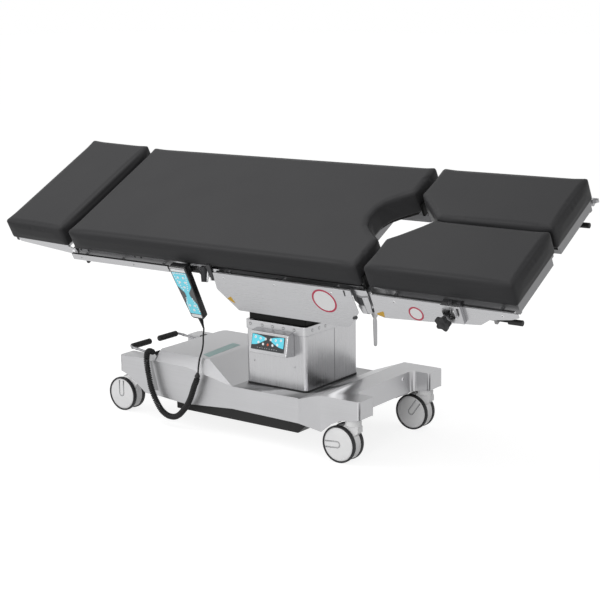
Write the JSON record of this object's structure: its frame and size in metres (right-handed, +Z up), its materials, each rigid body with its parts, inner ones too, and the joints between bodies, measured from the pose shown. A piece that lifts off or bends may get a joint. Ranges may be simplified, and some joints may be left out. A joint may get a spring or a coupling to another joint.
{
  "type": "operating table",
  "caption": "Electric operating table: sectioned padded top with tilting frame and side rails on a telescopic column and wheeled base, with foot levers and a corded handset",
  "frame": {"origin": "centre of the object's footprint box, on the floor", "axes": "+X from the head end to the leg end, +Y across the table away from the handset side, +Z up"},
  "size_m": [2.1258, 0.647, 0.9359],
  "materials": {
    "brushed_shell": "brushed",
    "dark_steel": "matte",
    "black_plastic": "matte",
    "panel": "glossy",
    "caster_plastic": "satin",
    "caster_tread": "matte",
    "chrome_rod": "polished",
    "brushed_steel": "brushed",
    "board": "matte",
    "upholstery": "satin",
    "cord": "satin"
  },
  "bodies": {
    "base": {"base_cover": "brushed_shell", "base_chassis": "dark_steel", "undertray": "black_plastic", "column_cover": "brushed_shell", "column_collar": "brushed_shell", "column_seal": "black_plastic", "control_box": "brushed_shell", "control_screen": "panel", "cord_socket": "black_plastic", "battery_pack": "black_plastic", "lift_motor": "black_plastic", "cord_lead": "cord", "cord_curl": "cord"},
    "caster_1": {"caster_fork_1": "caster_plastic"},
    "wheel_1": {"caster_wheel_1": "caster_plastic", "caster_tyre_1": "caster_tread"},
    "caster_2": {"caster_fork_2": "caster_plastic"},
    "wheel_2": {"caster_wheel_2": "caster_plastic", "caster_tyre_2": "caster_tread"},
    "caster_3": {"caster_fork_3": "caster_plastic"},
    "wheel_3": {"caster_wheel_3": "caster_plastic", "caster_tyre_3": "caster_tread"},
    "caster_4": {"caster_fork_4": "caster_plastic"},
    "wheel_4": {"caster_wheel_4": "caster_plastic", "caster_tyre_4": "caster_tread"},
    "pedal_1": {"pedal_lever_1": "chrome_rod", "pedal_grip_1": "black_plastic"},
    "pedal_2": {"pedal_lever_2": "chrome_rod", "pedal_grip_2": "black_plastic"},
    "mid_stage": {"column_mid": "brushed_steel"},
    "top_stage": {"column_top": "dark_steel", "tilt_yoke": "dark_steel"},
    "tilt_head": {"cross_block": "dark_steel"},
    "seat": {"seat_frame": "dark_steel", "seat_side_covers": "brushed_steel", "seat_rails": "brushed_steel", "seat_board": "board", "seat_mat": "upholstery", "mat_fold": "upholstery"},
    "back": {"back_frame": "dark_steel", "back_rails": "brushed_steel", "back_board": "board", "back_mat": "upholstery", "handset_holder": "black_plastic"},
    "head": {"head_frame": "brushed_steel", "head_mat": "upholstery"},
    "head_catch": {"head_lock": "black_plastic"},
    "leg_link_near": {"leg_hinge_near": "dark_steel"},
    "leg_near": {"leg_frame_near": "brushed_steel", "leg_mat_near": "upholstery"},
    "lever_near": {"leg_lever_near": "chrome_rod"},
    "release_near": {"leg_release_near": "black_plastic"},
    "leg_link_far": {"leg_hinge_far": "dark_steel"},
    "leg_far": {"leg_frame_far": "brushed_steel", "leg_mat_far": "upholstery"},
    "lever_far": {"leg_lever_far": "chrome_rod"},
    "release_far": {"leg_release_far": "black_plastic"},
    "clamp": {"rail_clamp": "brushed_steel"},
    "knob": {"star_knob": "black_plastic"},
    "remote": {"handset": "black_plastic"}
  },
  "joints": [
    {"name": "caster_1_swivel", "type": "hinge", "parent": "base", "child": "caster_1", "pos_m": [0.45189, -0.24525, 0.16], "axis": [0, 0, 1], "continuous": true},
    {"name": "wheel_1_spin", "type": "hinge", "parent": "caster_1", "child": "wheel_1", "pos_m": [0.41089, -0.24525, 0.0625], "axis": [0, 1, 0], "continuous": true},
    {"name": "caster_2_swivel", "type": "hinge", "parent": "base", "child": "caster_2", "pos_m": [0.45189, 0.19475, 0.16], "axis": [0, 0, 1], "continuous": true},
    {"name": "wheel_2_spin", "type": "hinge", "parent": "caster_2", "child": "wheel_2", "pos_m": [0.41089, 0.19475, 0.0625], "axis": [0, 1, 0], "continuous": true},
    {"name": "caster_3_swivel", "type": "hinge", "parent": "base", "child": "caster_3", "pos_m": [-0.55211, -0.19525, 0.16], "axis": [0, 0, 1], "continuous": true},
    {"name": "wheel_3_spin", "type": "hinge", "parent": "caster_3", "child": "wheel_3", "pos_m": [-0.59311, -0.19525, 0.0625], "axis": [0, 1, 0], "continuous": true},
    {"name": "caster_4_swivel", "type": "hinge", "parent": "base", "child": "caster_4", "pos_m": [-0.55211, 0.14475, 0.16], "axis": [0, 0, 1], "continuous": true},
    {"name": "wheel_4_spin", "type": "hinge", "parent": "caster_4", "child": "wheel_4", "pos_m": [-0.59311, 0.14475, 0.0625], "axis": [0, 1, 0], "continuous": true},
    {"name": "pedal_1_press", "type": "hinge", "parent": "base", "child": "pedal_1", "pos_m": [-0.38211, -0.15525, 0.2], "axis": [0, 1, 0], "range_deg": [-8, 0], "stiffness_Nm_per_rad": 8, "springref_deg": 11.46},
    {"name": "pedal_2_press", "type": "hinge", "parent": "base", "child": "pedal_2", "pos_m": [-0.38211, 0.10475, 0.2], "axis": [0, 1, 0], "range_deg": [-8, 0], "stiffness_Nm_per_rad": 8, "springref_deg": 11.46},
    {"name": "lift_lower", "type": "slide", "parent": "base", "child": "mid_stage", "axis": [0, 0, 1], "range_m": [0, 0.15], "deforming": ["cord_lead"]},
    {"name": "lift_upper", "type": "slide", "parent": "mid_stage", "child": "top_stage", "axis": [0, 0, 1], "range_m": [0, 0.15], "deforming": ["cord_lead"]},
    {"name": "tilt_lengthwise", "type": "hinge", "parent": "top_stage", "child": "tilt_head", "pos_m": [0.08789, -0.02525, 0.62], "axis": [0, -1, 0], "range_deg": [-22, 25], "deforming": ["cord_lead"]},
    {"name": "tilt_sideways", "type": "hinge", "parent": "tilt_head", "child": "seat", "pos_m": [0.08789, -0.02525, 0.7], "axis": [1, 0, 0], "range_deg": [-56, 0], "deforming": ["cord_lead"]},
    {"name": "back_lift", "type": "hinge", "parent": "seat", "child": "back", "pos_m": [-0.08511, -0.0191, 0.68843], "axis": [0, 0.8829, 0.4695], "range_deg": [-20, 75], "deforming": ["cord_lead", "mat_fold"]},
    {"name": "head_lift", "type": "hinge", "parent": "back", "child": "head", "pos_m": [-0.76111, -0.0299, 0.70874], "axis": [0, 0.8829, 0.4695], "range_deg": [-60, 12]},
    {"name": "head_catch_pull", "type": "slide", "parent": "back", "child": "head_catch", "axis": [0, 0.4695, -0.8829], "range_m": [0, 0.008], "stiffness_N_per_m": 500, "springref_m": -0.004},
    {"name": "handset_unhook", "type": "slide", "parent": "back", "child": "remote", "axis": [0, -0.4695, 0.8829], "range_m": [0, 0.04], "deforming": ["cord_lead"]},
    {"name": "leg_near_drop", "type": "hinge", "parent": "seat", "child": "leg_link_near", "pos_m": [0.50489, -0.2277, 0.58658], "axis": [0, 0.8829, 0.4695], "range_deg": [-5, 60]},
    {"name": "leg_near_swing", "type": "hinge", "parent": "leg_link_near", "child": "leg_near", "pos_m": [0.58489, -0.2277, 0.58658], "axis": [0, -0.4695, 0.8829], "range_deg": [-40, 0]},
    {"name": "lever_near_turn", "type": "hinge", "parent": "leg_link_near", "child": "lever_near", "pos_m": [0.51189, -0.21243, 0.56638], "axis": [0, -0.4695, 0.8829], "range_deg": [-60, 0]},
    {"name": "release_near_pull", "type": "slide", "parent": "leg_near", "child": "release_near", "axis": [1, 0, 0], "range_m": [0, 0.01], "stiffness_N_per_m": 800, "springref_m": -0.005},
    {"name": "leg_far_drop", "type": "hinge", "parent": "seat", "child": "leg_link_far", "pos_m": [0.50489, 0.18199, 0.80441], "axis": [0, 0.8829, 0.4695], "range_deg": [-5, 60]},
    {"name": "leg_far_swing", "type": "hinge", "parent": "leg_link_far", "child": "leg_far", "pos_m": [0.58489, 0.18199, 0.80441], "axis": [0, -0.4695, 0.8829], "range_deg": [0, 40]},
    {"name": "lever_far_turn", "type": "hinge", "parent": "leg_link_far", "child": "lever_far", "pos_m": [0.51189, 0.19019, 0.78046], "axis": [0, -0.4695, 0.8829], "range_deg": [0, 60]},
    {"name": "release_far_pull", "type": "slide", "parent": "leg_far", "child": "release_far", "axis": [1, 0, 0], "range_m": [0, 0.01], "stiffness_N_per_m": 800, "springref_m": -0.005},
    {"name": "clamp_along_rail", "type": "slide", "parent": "leg_near", "child": "clamp", "axis": [1, 0, 0], "range_m": [-0.08, 0.12]},
    {"name": "knob_turn", "type": "hinge", "parent": "clamp", "child": "knob", "pos_m": [0.81889, -0.28671, 0.53142], "axis": [0, 0.8829, 0.4695], "continuous": true}
  ],
  "couplings": [
    {"joint": "lift_upper", "follows": "lift_lower", "ratio": 1}
  ]
}
